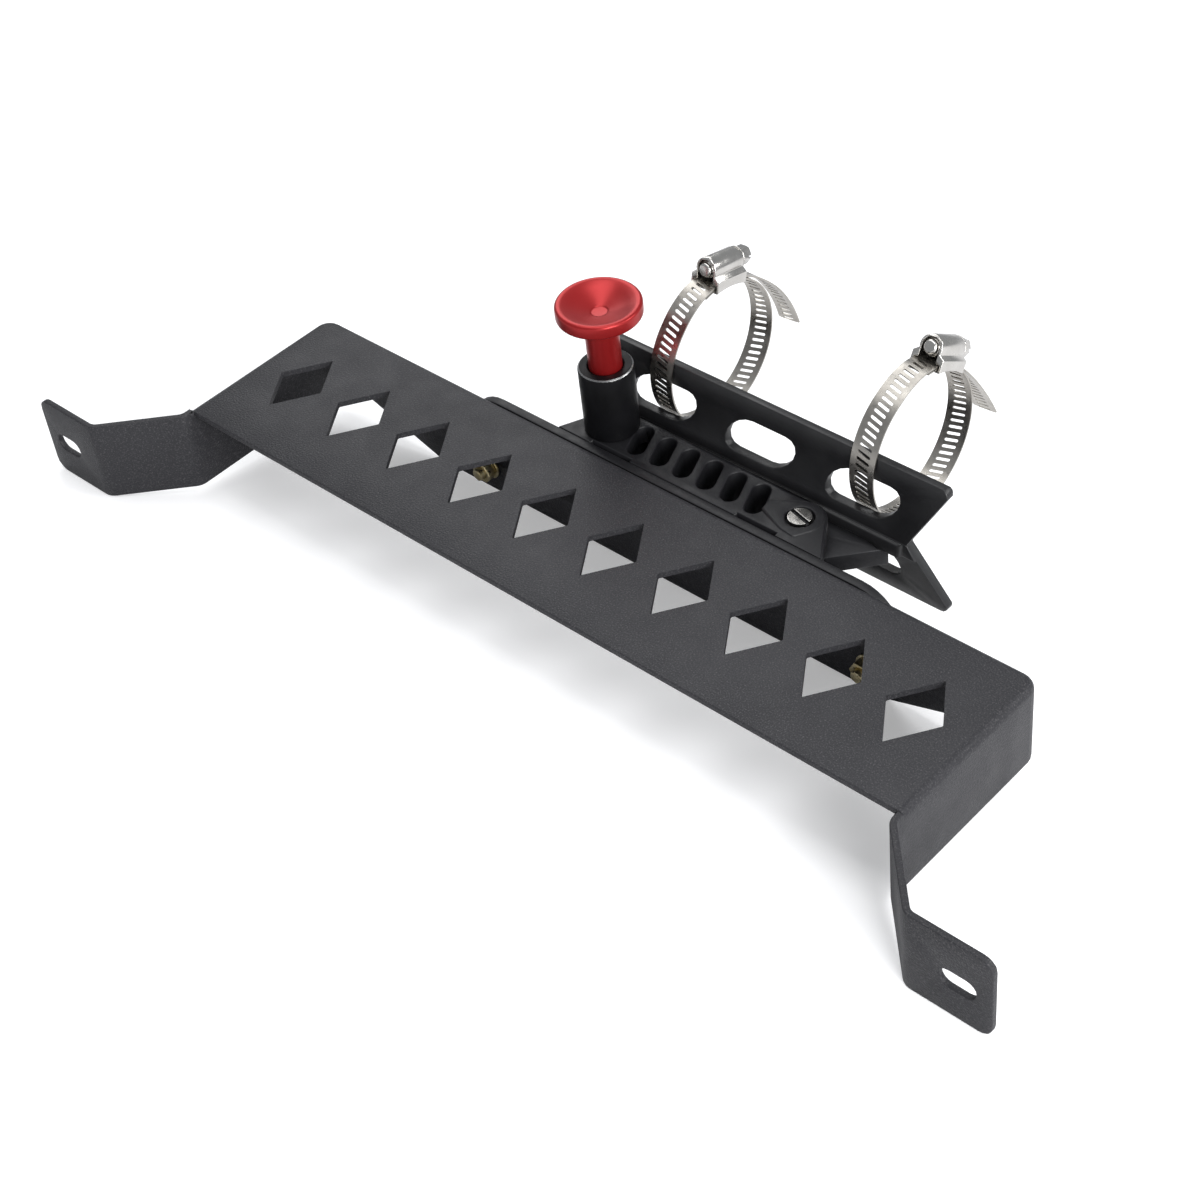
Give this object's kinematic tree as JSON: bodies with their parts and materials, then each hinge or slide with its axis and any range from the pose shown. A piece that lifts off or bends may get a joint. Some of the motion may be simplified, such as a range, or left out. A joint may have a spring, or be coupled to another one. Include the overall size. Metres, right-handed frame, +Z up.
{
  "type": "fire extinguisher bracket",
  "caption": "Folded seat plate with a quick-release saddle: a spring plunger locks it, and worm-drive clamps hold the bottle.",
  "frame": {"origin": "middle of the seat plate's top face, on the line through the middles of the cut-outs", "axes": "+X along the plate, +Y to the rear where the bottle is carried, +Z up out of the plate's top face"},
  "size_m": [0.554, 0.256, 0.1235],
  "materials": {
    "powder_coat": "fine textured black powder coat",
    "black_anodised": "matt black anodised",
    "satin_black": "satin black",
    "dark_grey_alloy": "satin dark grey",
    "red_anodised": "glossy red anodised",
    "stainless_steel": "rolled bright steel",
    "plated_screw": "bright plated steel",
    "yellow_zinc": "yellow zinc plated steel"
  },
  "bodies": {
    "base": {"seat_plate": "powder_coat", "back_plate": "black_anodised", "base_block": "black_anodised", "plunger_barrel": "satin_black", "plunger_spring": "stainless_steel", "pivot_screw": "plated_screw", "mount_bolt_l": "yellow_zinc", "mount_bolt_r": "yellow_zinc", "mount_washer_l": "yellow_zinc", "mount_washer_r": "yellow_zinc", "mount_nut_l": "yellow_zinc", "mount_nut_r": "yellow_zinc"},
    "saddle": {"saddle": "satin_black", "swing_plate": "dark_grey_alloy", "clamp_band_1": "stainless_steel", "clamp_band_2": "stainless_steel", "clamp_housing_1": "stainless_steel", "clamp_housing_2": "stainless_steel"},
    "plunger": {"pull_knob": "red_anodised", "lock_pin": "stainless_steel"},
    "screw_1": {"clamp_screw_1": "plated_screw"},
    "screw_2": {"clamp_screw_2": "plated_screw"}
  },
  "joints": [
    {"name": "saddle_swing", "type": "hinge", "parent": "base", "child": "saddle", "pos_m": [0.0707, 0.0646, -0.0118], "axis": [0, 0, -1], "range_deg": [0, 22]},
    {"name": "knob_pull", "type": "slide", "parent": "base", "child": "plunger", "axis": [0, 0, 1], "range_m": [-0.008, 0], "deforming": ["plunger_spring"]},
    {"name": "screw_1_turn", "type": "hinge", "parent": "saddle", "child": "screw_1", "pos_m": [-0.0213, 0.12585, 0.05841], "axis": [0, 0.9744, -0.225], "continuous": true},
    {"name": "screw_2_turn", "type": "hinge", "parent": "saddle", "child": "screw_2", "pos_m": [0.0916, 0.1386, 0.05313], "axis": [0, 0.848, -0.5299], "continuous": true}
  ]
}
